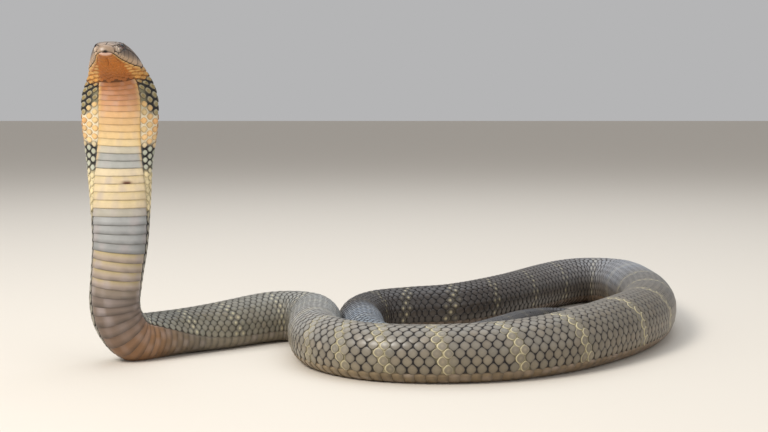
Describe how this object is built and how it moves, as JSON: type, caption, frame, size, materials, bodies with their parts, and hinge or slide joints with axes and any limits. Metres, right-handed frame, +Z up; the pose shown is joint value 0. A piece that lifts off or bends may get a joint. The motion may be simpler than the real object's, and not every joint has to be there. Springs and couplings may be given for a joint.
{
  "type": "king cobra",
  "caption": "Life-size king cobra, reared with a half-spread hood, the rest of its banded body in one long loop on the floor round the tail.",
  "frame": {"origin": "middle of the footprint, on the floor", "axes": "+Z up, -Y the way the head faces, +X to the right in the view from the front"},
  "size_m": [0.6668, 0.5901, 0.3297],
  "materials": {
    "head_shields": "satin",
    "throat": "satin",
    "eye": "gloss",
    "hood_skin": "satin",
    "neck_skin": "satin",
    "body_skin": "satin",
    "tail_skin": "satin"
  },
  "bodies": {
    "root": {"head": "head_shields", "lower_jaw": "throat", "eye_left": "eye", "eye_right": "eye", "hood": "hood_skin", "neck": "neck_skin", "neck_bend": "neck_skin", "forebody_straight": "body_skin", "forebody_bend_1": "body_skin", "forebody_bend_2": "body_skin", "forebody_bend_3": "body_skin", "midbody_near_1": "body_skin", "midbody_near_2": "body_skin", "midbody_turn_1": "body_skin", "midbody_turn_2": "body_skin", "midbody_turn_3": "body_skin", "midbody_turn_4": "body_skin", "hindbody_1": "body_skin", "hindbody_2": "body_skin", "hindbody_bend_1": "body_skin", "hindbody_bend_2": "body_skin", "tail_base": "tail_skin", "tail_bend": "tail_skin", "tail_middle": "tail_skin", "tail_end_1": "tail_skin", "tail_end_2": "tail_skin", "tail_tip": "tail_skin"}
  },
  "joints": []
}
